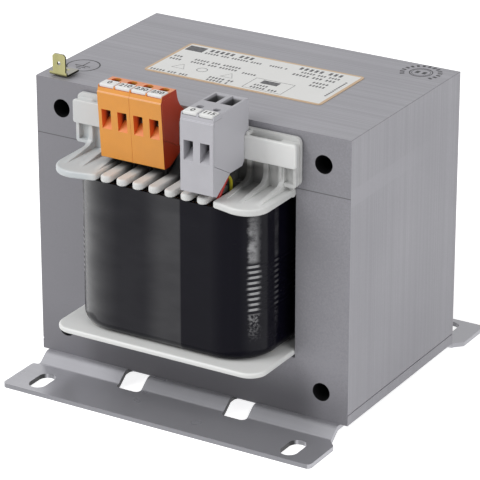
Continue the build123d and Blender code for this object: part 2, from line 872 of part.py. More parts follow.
grey_left = grid(first_grey_line) + module_gap / 2
grey_right = grid(last_grey_line) - module_gap / 2
with BuildPart() as grey_terminal:
    with BuildSketch(side(grey_left)):
        add(grey_outline.sketch)
    extrude(amount=grey_right - grey_left)
    for pole_x in grey_poles:
        mouth_top = grey_roof - grey_mouth_drop
        with BuildSketch(front(grey_front)):
            with Locations((pole_x, mouth_top - mouth_height / 2)):
                Rectangle(mouth_width, mouth_height)
        with BuildSketch(front(grey_front + grey_chamber_front)):
            with Locations((pole_x, mouth_top - throat_drop - throat_height / 2)):
                Rectangle(throat_width, throat_height)
        loft(mode=Mode.SUBTRACT)
        chamber_length = grey_chamber_back - grey_chamber_front
        chamber_y = grey_front + grey_chamber_front + chamber_length / 2
        with BuildSketch(plan(grey_floor - grey_chin_drop)):
            with Locations((pole_x, chamber_y)):
                Rectangle(chamber_width, chamber_length)
        chamber_height = grey_roof - chamber_depth_below_roof - grey_floor + grey_chin_drop
        extrude(amount=chamber_height, mode=Mode.SUBTRACT)
        with BuildSketch(plan(grey_roof)):
            with Locations((pole_x, grey_front + grey_tool_hole_back)):
                Circle(grey_tool_hole_diameter / 2)
        extrude(amount=-chamber_depth_below_roof, mode=Mode.SUBTRACT)
        entry_y = grey_front + entry_back
        with BuildSketch(plan(grey_roof)):
            with Locations((pole_x, entry_y)):
                Rectangle(entry_mouth_width, entry_mouth_length)
        with BuildSketch(plan(grey_roof - entry_taper_depth)):
            with Locations((pole_x, entry_y + entry_throat_shift)):
                Rectangle(entry_throat_width, entry_throat_length)
        loft(mode=Mode.SUBTRACT)
        with BuildSketch(plan(grey_roof - entry_taper_depth)):
            with Locations((pole_x, entry_y + entry_throat_shift)):
                Rectangle(entry_throat_width, entry_throat_length)
        extrude(amount=entry_taper_depth - entry_depth, mode=Mode.SUBTRACT)
        with BuildSketch(plan(grey_roof)):
            with Locations((pole_x, grey_front + (grey_brow + tag_length + tag_clearance) / 2)):
                Rectangle(grey_tag_width + 2 * tag_clearance, grey_brow + tag_length + tag_clearance)
        extrude(amount=-tag_sink, mode=Mode.SUBTRACT)
        with BuildSketch(plan(bar_seat)):
            with Locations((pole_x, nose_front + nose_thickness / 2)):
                Rectangle(nose_width, nose_thickness)
        extrude(amount=-nose_length)
    with BuildSketch(side(grey_right - cover_thickness)):
        with BuildLine():
            Polyline(*grey_cover_region(seam_gap), close=True)
        make_face()
    extrude(amount=cover_thickness, mode=Mode.SUBTRACT)

grey_terminal.part.label = "grey_terminal"
export_step(grey_terminal.part, "parts/grey_terminal.step")

with BuildPart() as grey_end_cover:
    with BuildSketch(side(grey_right - cover_thickness)):
        add(grey_outline.sketch)
        with BuildLine():
            Polyline(*grey_cover_region(0), close=True)
        make_face(mode=Mode.INTERSECT)
    extrude(amount=cover_thickness)

grey_end_cover.part.label = "grey_end_cover"
export_step(grey_end_cover.part, "parts/grey_end_cover.step")

# Marker tags, one in each recess of the terminals' front edges
tag_seats = [(x, orange_front + orange_brow, orange_roof, orange_tag_width) for x in orange_poles]
tag_seats += [(x, grey_front + grey_brow, grey_roof, grey_tag_width) for x in grey_poles]
for number, (tag_x, tag_front, tag_roof, tag_width) in enumerate(tag_seats, start=1):
    with BuildPart() as marker_tag:
        with BuildSketch(plan(tag_roof - tag_sink + tag_clearance)):
            with Locations((tag_x, tag_front + tag_length / 2)):
                Rectangle(tag_width, tag_length)
        extrude(amount=tag_sink + tag_proud - tag_clearance)
        fillet(edges().group_by(Axis.Z)[-1], tag_edge_radius)

    marker_tag.part.label = f"marker_tag_{number}"
    export_step(marker_tag.part, f"parts/marker_tag_{number}.step")

# Clamps: a contact bar and a cage spring in each pole's chamber
orange_chamber = (orange_front + orange_chamber_front, orange_front + orange_chamber_back, bar_bottom)
grey_chamber = (grey_front + grey_chamber_front, grey_front + grey_chamber_back, bar_bottom)
clamps = [(x, *orange_chamber, primary_lead_diameter) for x in orange_poles]
clamps += [(x, *grey_chamber, secondary_lead_diameter) for x in grey_poles]
for number, (clamp_x, cage_front, cage_back, cage_floor, lead_diameter) in enumerate(clamps, start=1):
    strip_back = cage_back - bar_strip_play
    strip_front = strip_back - bar_strip_thickness
    with BuildPart() as contact_bar:
        with BuildSketch(plan(cage_floor - bar_strip_rise)):
            with Locations((clamp_x, (strip_front + strip_back) / 2)):
                Rectangle(bar_strip_width, bar_strip_thickness)
        extrude(amount=bar_strip_height)
        fillet(edges().filter_by(Axis.Y), bar_strip_thickness / 2)

    contact_bar.part.label = f"contact_bar_{number}"
    export_step(contact_bar.part, f"parts/contact_bar_{number}.step")

    spring_lip = strip_front - 2 * lead_play - lead_diameter - spring_play
    spring_bottom = cage_floor + spring_rise - spring_thickness
    with BuildPart() as clamp_spring:
        with BuildSketch(side(clamp_x)):
            with BuildLine():
                FilletPolyline(
                    (strip_front - lead_play, spring_bottom + spring_height),
                    (cage_front + spring_play, spring_bottom + spring_height),
                    (cage_front + spring_play, spring_bottom),
                    (spring_lip, spring_bottom),
                    radius=spring_bend_radius,
                )
                offset(amount=spring_thickness, side=Side.LEFT)
            make_face()
        extrude(amount=spring_width / 2, both=True)

    clamp_spring.part.label = f"clamp_spring_{number}"
    export_step(clamp_spring.part, f"parts/clamp_spring_{number}.step")

# Leads from the primary, straight up through the comb's gaps
lead_top = bar_bottom + lead_top_rise
first_gap = (grid(-last_finger) - finger_width / 2 - ear_inner) / 2
primary_lead_x = [first_gap] + orange_poles[1:]
primary_lead_y = orange_front + orange_chamber_back - bar_strip_play - bar_strip_thickness
primary_lead_y -= lead_play + primary_lead_diameter / 2
with BuildPart() as primary_leads:
    with BuildSketch(plan(coil_top)):
        with Locations(*[(x, primary_lead_y) for x in primary_lead_x]):
            Circle(primary_lead_diameter / 2)
    extrude(amount=lead_top - coil_top)

primary_leads.part.label = "primary_leads"
export_step(primary_leads.part, "parts/primary_leads.step")

# Leads from the secondary: one straight and two drawn into the last pole from the coil's front and back
secondary_lead_y = grey_front + grey_chamber_back - bar_strip_play - bar_strip_thickness
secondary_lead_y -= lead_play + secondary_lead_diameter / 2
last_gap = (grid(last_finger) + finger_width / 2 + ear_inner) / 2
pair_offset = (secondary_lead_diameter + lead_play) / 2
with BuildPart() as neutral_lead:
    with BuildSketch(plan(coil_top)):
        with Locations((grey_poles[0], secondary_lead_y)):
            Circle(secondary_lead_diameter / 2)
    extrude(amount=lead_top - coil_top)

neutral_lead.part.label = "neutral_lead"
export_step(neutral_lead.part, "parts/neutral_lead.step")

bent_leads = (
    ("red_lead", last_gap + pair_offset, core_front - red_lead_start, red_lead_rise),
    ("earth_lead", last_gap - pair_offset, core_front - earth_lead_start, earth_lead_rise),
)
for lead_name, lead_x, lead_start, lead_rise in bent_leads:
    with BuildPart() as bent_lead:
        with BuildLine(side(lead_x)) as lead_path:
            FilletPolyline(
                (lead_start, coil_top),
                (lead_start, coil_top + lead_rise),
                (secondary_lead_y, bar_bottom - lead_bend_drop),
                (secondary_lead_y, lead_top),
                radius=lead_bend_radius,
            )
        with BuildSketch(plan(coil_top)):
            with Locations((lead_x, lead_start)):
                Circle(secondary_lead_diameter / 2)
        sweep()

    bent_lead.part.label = lead_name
    export_step(bent_lead.part, f"parts/{lead_name}.step")

# Earth tab: spade blade bent up from a foot that stands on a weld boss
tab_x = tab_inset_x - core_width / 2
tab_front = core_front + tab_inset_y
tab_bottom = core_height + tab_boss_height
tab_left = tab_x - tab_foot_shift - tab_shoulder_width / 2
with BuildPart() as earth_tab:
    with BuildSketch(side(tab_left)) as tab_section:
        with BuildLine():
            FilletPolyline(
                (tab_front + tab_foot_length, tab_bottom),
                (tab_front, tab_bottom),
                (tab_front, tab_bottom + tab_height),
                radius=tab_bend_radius,
            )
            offset(amount=tab_thickness, side=Side.RIGHT)
        make_face()
    extrude(amount=tab_shoulder_width)
    with BuildSketch(front(tab_front)) as tab_outline:
        with Locations((tab_left + tab_shoulder_width / 2, tab_bottom + tab_shoulder_height / 2)):
            Rectangle(tab_shoulder_width, tab_shoulder_height)
        with Locations((tab_x, tab_bottom + tab_height / 2)):
            blade = Rectangle(tab_blade_width, tab_height)
        chamfer(blade.vertices().group_by(Axis.Y)[-1], tab_chamfer)
        with Locations((tab_x, tab_bottom + tab_height - tab_hole_drop)):
            Circle(tab_hole_diameter / 2, mode=Mode.SUBTRACT)
    extrude(amount=-tab_foot_length, mode=Mode.INTERSECT)
    tab_boss_place = (tab_x, tab_front + tab_boss_inset)
    with BuildSketch(plan(core_height)) as tab_boss:
        with Locations(tab_boss_place):
            Circle(tab_boss_diameter / 2)
    extrude(amount=tab_boss_height)
    with BuildSketch(plan(tab_bottom + tab_thickness)) as tab_dimple:
        with Locations(tab_boss_place):
            Circle(tab_dimple_diameter / 2)
    extrude(amount=-tab_dimple_depth, taper=45, mode=Mode.SUBTRACT)

earth_tab.part.label = "earth_tab"
export_step(earth_tab.part, "parts/earth_tab.step")

# Rating label on top of the core
with BuildPart() as rating_label:
    with BuildSketch(plan(core_height)) as label_outline:
        with Locations((label_shift_x, label_shift_y)):
            RectangleRounded(label_width, label_length, label_corner_radius)
    extrude(amount=label_thickness)

rating_label.part.label = "rating_label"
export_step(rating_label.part, "parts/rating_label.step")
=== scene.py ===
import math

import bpy
from bpy.props import FloatProperty, FloatVectorProperty, PointerProperty
from bpy.types import Operator, Panel, PropertyGroup
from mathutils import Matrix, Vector


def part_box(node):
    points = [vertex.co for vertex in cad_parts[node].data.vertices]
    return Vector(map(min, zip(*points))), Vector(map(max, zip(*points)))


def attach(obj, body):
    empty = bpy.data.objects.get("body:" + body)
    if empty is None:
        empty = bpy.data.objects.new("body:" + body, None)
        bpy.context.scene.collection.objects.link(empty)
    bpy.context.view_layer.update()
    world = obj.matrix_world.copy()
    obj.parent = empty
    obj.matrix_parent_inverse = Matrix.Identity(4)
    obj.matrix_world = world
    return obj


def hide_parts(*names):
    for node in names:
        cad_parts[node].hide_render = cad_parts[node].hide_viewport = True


bl_info = {
    "name": "Chassis Transformer",
    "version": (1, 0, 0),
    "blender": (4, 5, 0),
    "location": "View3D > Sidebar > Transformer",
    "description": "Dresses a laminated chassis transformer with its finishes, prints and studio",
    "category": "Object",
}

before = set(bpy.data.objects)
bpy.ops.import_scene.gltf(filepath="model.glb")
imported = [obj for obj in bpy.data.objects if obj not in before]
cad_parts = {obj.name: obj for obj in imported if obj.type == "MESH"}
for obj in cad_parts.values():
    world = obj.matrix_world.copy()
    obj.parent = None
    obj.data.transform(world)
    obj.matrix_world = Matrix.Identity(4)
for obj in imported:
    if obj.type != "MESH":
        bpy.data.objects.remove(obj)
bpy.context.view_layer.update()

MM = 0.001
CORE_LOW, CORE_HIGH = (Vector(corner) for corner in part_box("e_core"))
TOP_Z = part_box("i_core")[1][2]
LABEL_LOW, LABEL_HIGH = (Vector(corner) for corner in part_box("rating_label"))
LABEL_CENTRE = (LABEL_LOW + LABEL_HIGH) / 2
WRAP_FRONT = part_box("outer_wrap")[0][1]
EARTH_LEAD_LOW, EARTH_LEAD_HIGH = (Vector(corner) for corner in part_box("earth_lead"))
ORANGE_LOW = Vector(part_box("orange_terminal_left")[0])
ORANGE_HIGH = Vector(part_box("orange_end_cover")[1])
GREY_LOW, GREY_HIGH = Vector(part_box("grey_terminal")[0]), Vector(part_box("grey_end_cover")[1])

# In millimetres. X and Y are counted from the object's middle, heights from the core's underside.
LEG_EDGE = 50.0
JOINT_HEIGHT = 100.0
HOLE_INSET, HOLE_RADIUS = 12.5, 4.0
FOOT_CUTS_REACH = 69.5
TAPE_END = 10.8
TAPE_TURN_PITCH = 2.36
TAPE_TURNS_LOW, TAPE_TURNS_HIGH = 49.5, 71.0
SIDE_CREASE_Y = 53.6
WIRE_PITCH = 1.2
RIDGE_DROP = 2.7  # below the housings' roof
TAG_EDGE = 0.35
FIGURE_BOLDNESS = 0.09
EARTH_SIGN_PLACE = (-64.5, -27.2)
STAMP_PLACE = (61.4, 37.5)

CREASE_TURN = 0.785  # share of X in the surface's direction where the tape is creased
FIGURE_SCALE = 1.4  # text size for a capital's height of one
TAG_FIGURES = ("0", "210", "230", "250", "0", "115")
WORD_LETTERS = (5, 3, 6, 4)
STROKE_MIDDLE, STROKE_WIDTH, WORD_GAP = 0.34, 0.54, 0.8  # shares of the letter pitch
FLOOR_SIZE = 8.0
LAMP_DISTANCE, LAMP_TARGET = 1.6, Vector((0, 0, 0.06))
WHITE = (1.0, 1.0, 1.0, 1.0)


def tone_setting(name, description, *default):
    return FloatVectorProperty(
        name=name, description=description, subtype="COLOR", default=default, min=0.0, max=1.0,
    )


def length_setting(name, description, default, highest):
    return FloatProperty(
        name=name, description=description, unit="LENGTH", default=default, min=0.0, max=highest,
    )


class FinishSettings(PropertyGroup):
    """Colours of the finishes, as they are under plain white light, except the orange side, funnel and roof,
    which hold painted shade.
    """

    steel: tone_setting("Sheet steel", "Varnished edges of the core's sheets", 0.375, 0.37, 0.40)
    sheet_face: tone_setting("Sheet face", "Flat face of the first and last sheet", 0.28, 0.276, 0.30)
    bobbin: tone_setting("Bobbin", "Natural white moulding", 0.75, 0.755, 0.745)
    tape: tone_setting("Tape", "Glossy black tape round the coil", 0.0034, 0.0031, 0.0075)
    orange: tone_setting("Orange moulding", "Housings of the primary terminals", 0.79, 0.325, 0.05)
    # Painted shade: the orange's outer sides, funnel walls and roof are shaded copies of the orange moulding.
    orange_side: tone_setting("Orange side", "Outer sides of the primary terminals", 0.46, 0.035, 0.004)
    orange_funnel: tone_setting("Orange funnel", "Walls of the primary terminals' funnels", 0.80, 0.13, 0.022)
    orange_roof: tone_setting("Orange roof", "Level top of the primary terminals", 0.78, 0.29, 0.13)
    grey: tone_setting("Grey moulding", "Housing of the secondary terminal", 0.50, 0.495, 0.53)
    label_border: tone_setting("Label border", "Tan line along the label's edge", 0.60, 0.42, 0.255)


class PrintSettings(PropertyGroup):
    """Sizes of what is printed or stamped."""

    border: length_setting("Border", "Width of the label's border", 1.3 * MM, 0.01)
    ink_height: length_setting("Ink height", "How far print stands proud", 0.03 * MM, 0.001)
    letter_pitch: FloatProperty(
        name="Letter pitch", description="Letter spacing as a share of the letters' height", default=0.86,
        min=0.3, max=2.0,
    )
    tag_text: length_setting("Tag figure", "Height of the figures on the marker tags", 2.7 * MM, 0.01)


class StageSettings(PropertyGroup):
    """Camera and lamps."""

    azimuth: FloatProperty(
        name="Azimuth", description="Camera's turn to the right of the front", subtype="ANGLE",
        default=math.radians(30.8), min=-math.pi, max=math.pi,
    )
    elevation: FloatProperty(
        name="Elevation", description="Camera's height above level", subtype="ANGLE",
        default=math.radians(22.9), min=0.0, max=1.5,
    )
    lens: FloatProperty(
        name="Lens", description="Focal length on a 36 mm sensor, in millimetres", default=225.0, min=10.0,
        max=1000.0,
    )
    camera_x: FloatProperty(name="Camera X", description="Camera's place", unit="LENGTH", default=0.6007)
    camera_y: FloatProperty(name="Camera Y", description="Camera's place", unit="LENGTH", default=-1.0147)
    camera_z: FloatProperty(name="Camera Z", description="Camera's place", unit="LENGTH", default=0.5536)
    key_power: FloatProperty(
        name="Key lamp", description="Power of the lamp at the front", default=14.0, min=0.0,
    )
    fill_power: FloatProperty(
        name="Side lamp", description="Power of the lamp at the right", default=7.0, min=0.0,
    )
    sky: FloatProperty(
        name="Sky", description="Strength of the even light from all round", default=0.36, min=0.0,
    )


def finish_tone(key):
    """One of the colours set in the panel."""
    return tuple(getattr(bpy.context.scene.transformer_finish, key))


def print_size(key):
    """One of the print sizes set in the panel."""
    return getattr(bpy.context.scene.transformer_print, key)


def deselect():
    bpy.ops.object.select_all(action="DESELECT")


def pick(obj):
    """Makes one object the only one selected, and the active one."""
    deselect()
    obj.select_set(True)
    bpy.context.view_layer.objects.active = obj


def settle(obj):
    """Puts an object's place, turn and scale into its mesh."""
    pick(obj)
    bpy.ops.object.transform_apply(location=True, rotation=True, scale=True)


def apply_modifiers(obj):
    pick(obj)
    for modifier in list(obj.modifiers):
        bpy.ops.object.modifier_apply(modifier=modifier.name)


def joined(parts, name):
    """One object made of several, named and settled."""
    pick(parts[0])
    for part in parts:
        part.select_set(True)
    bpy.ops.object.join()
    whole = bpy.context.view_layer.objects.active
    whole.name = name
    settle(whole)
    return whole


def dress(obj, material):
    """Gives an object one material."""
    if obj.material_slots:
        for slot in obj.material_slots:
            slot.material = material
    else:
        obj.data.materials.append(material)


def dress_node(material, *names):
    for name in names:
        dress(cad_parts[name], material)


def add_piece(obj, material, slot_name, *replaced):
    """Gives a finished piece its material, puts it under the root body and hides the CAD parts it replaces.
    """
    dress(obj, material)
    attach(obj, "root")
    if replaced:
        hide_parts(*replaced)


class Nodes:
    """A node tree, with short ways to add nodes and join them."""

    def __init__(self, owner, tree, last):
        self.owner, self.tree, self.last = owner, tree, last

    def node(self, kind, **settings):
        made = self.tree.nodes.new(kind)
        for key, value in settings.items():
            setattr(made, key, value)
        return made

    def feed(self, socket, value):
        """Links a socket to another node's output, or sets its value."""
        if isinstance(value, bpy.types.NodeSocket):
            self.tree.links.new(value, socket)
        else:
            socket.default_value = value

    def fill(self, made, **values):
        """Feeds a node's sockets by name, with underscores for spaces."""
        for key, value in values.items():
            self.feed(made.inputs[key.replace("_", " ")], value)
        return made

    def done(self, **values):
        """Feeds the tree's last node and gives back what the tree belongs to."""
        self.fill(self.last, **values)
        return self.owner

    def math(self, operation, *values):
        made = self.node("ShaderNodeMath", operation=operation)
        for socket, value in zip(made.inputs, values):
            self.feed(socket, value)
        return made.outputs[0]

    def times(self, first, *factors):
        """Product of outputs and numbers."""
        for factor in factors:
            first = self.math("MULTIPLY", first, factor)
        return first

    def away(self, value, middle=None):
        """How far a value is from a middle or from zero, either way."""
        if middle is not None:
            value = self.math("SUBTRACT", value, middle)
        return self.math("ABSOLUTE", value)

    def axes(self, vector=None):
        """X, Y and Z of a vector, or of the place if none is given."""
        made = self.fill(self.node("ShaderNodeSeparateXYZ"), Vector=vector or self.place)
        return tuple(made.outputs)

    def noise(self, scale, detail, roughness=0.5):
        """Cloudy factor. A scale of three numbers stretches it along the axes."""
        vector = self.place
        if isinstance(scale, tuple):
            mapping = self.fill(self.node("ShaderNodeMapping"), Vector=vector, Scale=scale)
            vector, scale = mapping.outputs["Vector"], 1.0
        made = self.node("ShaderNodeTexNoise")
        self.fill(made, Vector=vector, Scale=scale, Detail=detail, Roughness=roughness)
        return made.outputs["Fac"]

    def mix(self, factor, first, second):
        """Number between two numbers or outputs."""
        made = self.fill(self.node("ShaderNodeMix"), Factor=factor, A=first, B=second)
        return made.outputs["Result"]

    def seen(self):
        """1 for what the camera sees, also in reflections and through glass, and 0 for light."""
        rays = self.node("ShaderNodeLightPath").outputs
        seen = self.math("MAXIMUM", rays["Is Camera Ray"], rays["Is Glossy Ray"])
        return self.math("MAXIMUM", seen, rays["Is Transmission Ray"])


class Group(Nodes):
    """A shader node group with a vector and some numbers going in, and numbers coming out."""

    def __init__(self, name, inputs, outputs):
        tree = bpy.data.node_groups.new(name, "ShaderNodeTree")
        tree.interface.new_socket("Vector", in_out="INPUT", socket_type="NodeSocketVector")
        for socket, default in inputs.items():
            made = tree.interface.new_socket(socket, in_out="INPUT", socket_type="NodeSocketFloat")
            made.default_value = default
        for socket in outputs:
            tree.interface.new_socket(socket, in_out="OUTPUT", socket_type="NodeSocketFloat")
        self.given = tree.nodes.new("NodeGroupInput").outputs
        self.place = self.given["Vector"]
        super().__init__(tree, tree, tree.nodes.new("NodeGroupOutput"))


class Shader(Nodes):
    """A material with patterns on object coordinates."""

    def __init__(self, name):
        material = bpy.data.materials.new(name)
        material.use_nodes = True
        super().__init__(material, material.node_tree, material.node_tree.nodes["Principled BSDF"])
        self.place = self.node("ShaderNodeTexCoord").outputs["Object"]

    def facing(self):
        """X, Y and Z of the surface's own direction."""
        return self.axes(self.node("ShaderNodeTexCoord").outputs["Normal"])

    def height(self):
        """Height above the core's underside."""
        return self.math("SUBTRACT", self.axes()[2], CORE_LOW.z)

    def group(self, tree, **values):
        """Outputs of a node group on object coordinates."""
        return self.fill(self.node("ShaderNodeGroup", node_tree=tree), Vector=self.place, **values).outputs

    def mottle(self, patch_scale, grain_scale, grain_share):
        """Cloudy factor with its grain, and the grain alone."""
        made = self.group(
            mottle_group(), Patch_Scale=patch_scale, Grain_Scale=grain_scale, Grain_Share=grain_share,
        )
        return made["Factor"], made["Grain"]

    def ramp(self, value, low, high, to_low=0.0, to_high=1.0):
        """Smooth change from one number to another as a value goes from low to high."""
        made = self.node("ShaderNodeMapRange", interpolation_type="SMOOTHSTEP")
        self.fill(made, Value=value, From_Min=low, From_Max=high, To_Min=to_low, To_Max=to_high)
        return made.outputs["Result"]

    def span(self, value, low, high, to_low=0.0, to_high=1.0):
        """The same, with low and high in millimetres."""
        return self.ramp(value, low * MM, high * MM, to_low, to_high)

    def blend(self, factor, first, second):
        """Colour between two colours or colour outputs."""
        first, second = ((*value, 1.0) if isinstance(value, tuple) else value for value in (first, second))
        made = self.node("ShaderNodeMix", data_type="RGBA")
        return self.fill(made, Factor=factor, A=first, B=second).outputs["Result"]

    def bump(self, height, distance, strength=1.0):
        """Normal that raises a height, with the distance in millimetres."""
        made = self.node("ShaderNodeBump")
        return self.fill(made, Height=height, Distance=distance * MM, Strength=strength).outputs["Normal"]


def shade(color, factor):
    """A colour made darker or lighter by a factor."""
    return tuple(min(1.0, channel * factor) for channel in color)


def mottle_group():
    """Cloudy factor round 0.5, broad patches with a fine grain over them."""
    if "Mottle" in bpy.data.node_groups:
        return bpy.data.node_groups["Mottle"]
    defaults = {"Patch Scale": 40.0, "Grain Scale": 900.0, "Grain Share": 0.4}
    group = Group("Mottle", defaults, ("Factor", "Grain"))
    patch = group.noise(group.given["Patch Scale"], 3.0)
    grain = group.noise(group.given["Grain Scale"], 2.0)
    return group.done(Factor=group.mix(group.given["Grain Share"], patch, grain), Grain=grain)


def sheet_group():
    """Stacked sheets seen on edge: a tone for each with broad streaks along it, and the groove between."""
    if "Stacked Sheets" in bpy.data.node_groups:
        return bpy.data.node_groups["Stacked Sheets"]
    group = Group("Stacked Sheets", {"Sheet": 0.5 * MM}, ("Tone", "Groove"))
    x, y, z = group.axes()
    count = group.math("DIVIDE", y, group.given["Sheet"])
    sheet = group.node("ShaderNodeTexWhiteNoise", noise_dimensions="1D")
    group.fill(sheet, W=group.math("FLOOR", count))
    streak = group.noise((6.0, 420.0, 6.0), 4.0, 0.65)
    tone = group.mix(0.72, sheet.outputs["Value"], streak)
    return group.done(Tone=tone, Groove=group.math("PINGPONG", count, 0.5))


def sheet_faces(shader, cloud):
    """First and last sheet: painted shade low down, strongest between the legs where the coil's flange
    overhangs, and painted shade on the left leg, with the line of the joint.
    """
    face = finish_tone("sheet_face")
    x, y, z = shader.axes()
    height = shader.height()
    tone = shader.blend(shader.ramp(cloud, 0.35, 0.65), shade(face, 0.90), shade(face, 1.10))
    # Painted shade low down, strongest between the legs, where the coil's flange overhangs.
    on_legs = shader.span(shader.away(x), LEG_EDGE, LEG_EDGE + 16, 1.0, 0.4)
    low = shader.times(shader.span(height, 5, 27, 0.85, 0.0), on_legs)
    tone = shader.blend(low, tone, shade(face, 0.38))
    # Painted shade on the left leg.
    left_leg_painted_shade = shader.span(x, 6 - LEG_EDGE, -6 - LEG_EDGE, 0.0, 0.7)
    tone = shader.blend(left_leg_painted_shade, tone, shade(face, 0.8))
    joint = shader.span(shader.away(height, JOINT_HEIGHT * MM), 0.3, 0.12, 0.0, 0.65)
    return shader.blend(joint, tone, shade(face, 0.2))


def sheet_edges(shader, cloud, sheets):
    """Sides and top of the stack: streaks, painted shade that keeps the top darker than the sides, the band
    ground along the joint, and the dark rim on top.
    """
    steel = finish_tone("steel")
    nx, ny, nz = shader.facing()
    x, y, z = shader.axes()
    streaks = shader.ramp(sheets["Tone"], 0.3, 0.7)
    sides = shader.blend(streaks, shade(steel, 0.935), shade(steel, 1.06))
    # Painted shade: the top's streaks run darker than the sides'.
    top = shader.blend(streaks, shade(steel, 0.84), shade(steel, 1.03))
    tone = shader.blend(shader.ramp(nz, 0.6, 0.8), sides, top)
    tone = shader.blend(shader.ramp(cloud, 0.3, 0.7, 0.0, 0.5), tone, shade(steel, 0.96))
    from_joint = shader.away(shader.height(), JOINT_HEIGHT * MM)
    ground = shader.times(shader.span(from_joint, 4.2, 3.0), shader.span(y, 40, -40), 0.7)
    tone = shader.blend(ground, tone, shade(steel, 1.07))
    rim = shader.times(
        shader.ramp(shader.away(x), CORE_HIGH.x - 0.3 * MM, CORE_HIGH.x - 0.05 * MM),
        shader.ramp(z, TOP_Z - 0.3 * MM, TOP_Z - 0.05 * MM),
        0.6,
    )
    return shader.blend(rim, tone, shade(steel, 0.3))


def bore_painted_shade(shader, plain):
    """Mask for the walls of the four bolt holes, which are painted near black as shade."""
    x, y, z = shader.axes()
    middle = (CORE_LOW.z + TOP_Z) / 2
    inset = HOLE_INSET * MM
    across = shader.math("SUBTRACT", shader.away(x), CORE_HIGH.x - inset)
    up = shader.math("SUBTRACT", shader.away(z, middle), TOP_Z - inset - middle)
    radius = shader.math("SQRT", shader.math("MULTIPLY_ADD", across, across, shader.times(up, up)))
    inside = shader.span(radius, HOLE_RADIUS + 0.3, HOLE_RADIUS + 0.1)
    return shader.times(inside, shader.math("SUBTRACT", 1.0, plain))


def core_steel():
    """Varnished sheets: plain faces in front and behind, stacked edges elsewhere, painted shade on parts of
    both, and bolt holes painted near black as shade.
    """
    shader = Shader("core_steel")
    cloud, grain = shader.mottle(22.0, 1500.0, 0.45)
    sheets = shader.group(sheet_group())
    nx, ny, nz = shader.facing()
    plain = shader.ramp(shader.away(ny), 0.6, 0.8)
    tone = shader.blend(plain, sheet_edges(shader, cloud, sheets), sheet_faces(shader, cloud))
    relief = shader.mix(plain, shader.times(sheets["Groove"], 0.5), shader.times(grain, 0.4))
    return shader.done(
        # Painted shade: the bolt holes' walls near black.
        Base_Color=shader.blend(bore_painted_shade(shader, plain), tone, (0.008, 0.008, 0.009)),
        Roughness=shader.ramp(cloud, 0.3, 0.7, 0.46, 0.6),
        Metallic=0.25,
        Specular_IOR_Level=0.35,
        Normal=shader.bump(relief, 0.03, 0.6),
    )


def weld_steel():
    """Weld beads under the feet, a little lighter than the sheets, with a ripple along them."""
    steel = finish_tone("steel")
    shader = Shader("weld_steel")
    ripple = shader.noise((60.0, 160.0, 420.0), 3.0)
    return shader.done(
        Base_Color=shader.blend(shader.ramp(ripple, 0.35, 0.65), steel, shade(steel, 1.06)),
        Roughness=0.45,
        Metallic=0.35,
        Normal=shader.bump(ripple, 0.04, 0.4),
    )


def foot_steel():
    """Satin galvanised sheet: faint rolling lines, painted shade on the slopes and on the front and back
    edges, a painted reflection that darkens the flange right of the left slots, and walls of the cut-outs
    painted dark as shade.
    """
    shader = Shader("foot_steel")
    nx, ny, nz = shader.facing()
    x, y, z = shader.axes()
    patches = shader.noise(45.0, 2.0)
    rolled = shader.noise((12.0, 900.0, 900.0), 3.0)
    grain = shader.math("ADD", shader.times(patches, 0.6), shader.times(rolled, 0.4))
    tone = shader.blend(shader.ramp(grain, 0.35, 0.65), (0.445, 0.443, 0.475), (0.50, 0.498, 0.53))
    slope = shader.times(shader.ramp(shader.away(ny), 0.15, 0.4), shader.ramp(nz, 0.2, 0.4))
    # Painted shade on the slopes.
    tone = shader.blend(shader.times(slope, 0.6), tone, (0.31, 0.31, 0.33))
    # Painted shade on the front and back edges of the sheet.
    tone = shader.blend(shader.ramp(shader.away(ny), 0.85, 0.97), tone, (0.26, 0.26, 0.28))
    # Painted reflection: the flange darker to the right of the left slots.
    flange_painted_reflection = shader.times(shader.ramp(nz, 0.93, 0.98), shader.span(x, -56, -49))
    tone = shader.blend(flange_painted_reflection, tone, (0.395, 0.393, 0.42))
    # Painted shade: the walls of the notches and slots near black.
    cut_walls_painted_shade = shader.times(
        shader.ramp(shader.away(nx), 0.5, 0.8),
        shader.span(shader.away(x), FOOT_CUTS_REACH + 0.3, FOOT_CUTS_REACH - 0.3),
    )
    sheen = shader.ramp(patches, 0.3, 0.7, 0.27, 0.33)
    return shader.done(
        Base_Color=shader.blend(cut_walls_painted_shade, tone, (0.03, 0.03, 0.033)),
        Roughness=shader.math("MULTIPLY_ADD", slope, 0.3, sheen),
        Metallic=0.5,
    )


def bobbin_tone(shader, cloud, base):
    """White of the moulding, with painted shade on the left ear, painted light on the foot, and at the rail's
    right end painted light on the bar and painted shade on the wall.
    """
    x, y, z = shader.axes()
    height = shader.height()
    tone = shader.blend(shader.ramp(cloud, 0.3, 0.7), shade(base, 0.95), shade(base, 1.02))
    # Painted shade, slightly blue, on the left ear and, more faintly above it, on the rail's left end.
    left_ear_painted_shade = shader.times(
        shader.span(x, -26, -33), shader.span(height, 106, 103, 0.4, 1.0), shader.span(y, -44, -50),
    )
    tone = shader.blend(left_ear_painted_shade, tone, (0.60, 0.635, 0.65))
    # Painted light on the bar and painted shade on the wall behind it, at the rail's right end.
    painted_light_right_end = shader.times(shader.span(x, 28, 34), shader.span(height, 104, 107))
    tone = shader.blend(shader.times(painted_light_right_end, shader.span(y, -51, -52.5)), tone, shade(base, 1.14))
    tone = shader.blend(shader.times(painted_light_right_end, shader.span(y, -52.5, -51)), tone, shade(base, 0.84))
    # Painted light low down, on the foot.
    return shader.blend(shader.span(height, 40, 34), tone, shade(base, 1.12))


